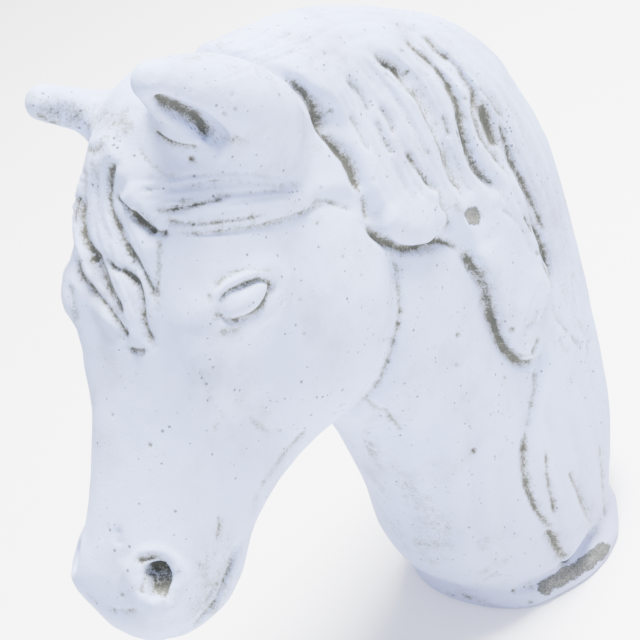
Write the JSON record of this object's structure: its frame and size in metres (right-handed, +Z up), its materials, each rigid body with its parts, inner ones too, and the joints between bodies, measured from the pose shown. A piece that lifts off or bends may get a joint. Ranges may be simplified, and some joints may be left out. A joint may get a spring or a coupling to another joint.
{
  "type": "horse head garden statue",
  "caption": "Cast concrete horse head on an arched neck with a carved mane and forelock, painted white and cut flat below to stand on a garden wall, post or bed.",
  "frame": {"origin": "centre of the flat underside", "axes": "+Z up, the horse faces -Y, and its left side, where the locks of the mane fall, is +X"},
  "size_m": [0.152, 0.42, 0.4791],
  "materials": {
    "painted_concrete": "white masonry paint on cast concrete, weathered matt, with grey-green dirt in the carved lines, small air-bubble pits and bare grey patches on the ears and at the foot"
  },
  "bodies": {
    "root": {"horse_head_casting": "painted_concrete"}
  },
  "joints": []
}
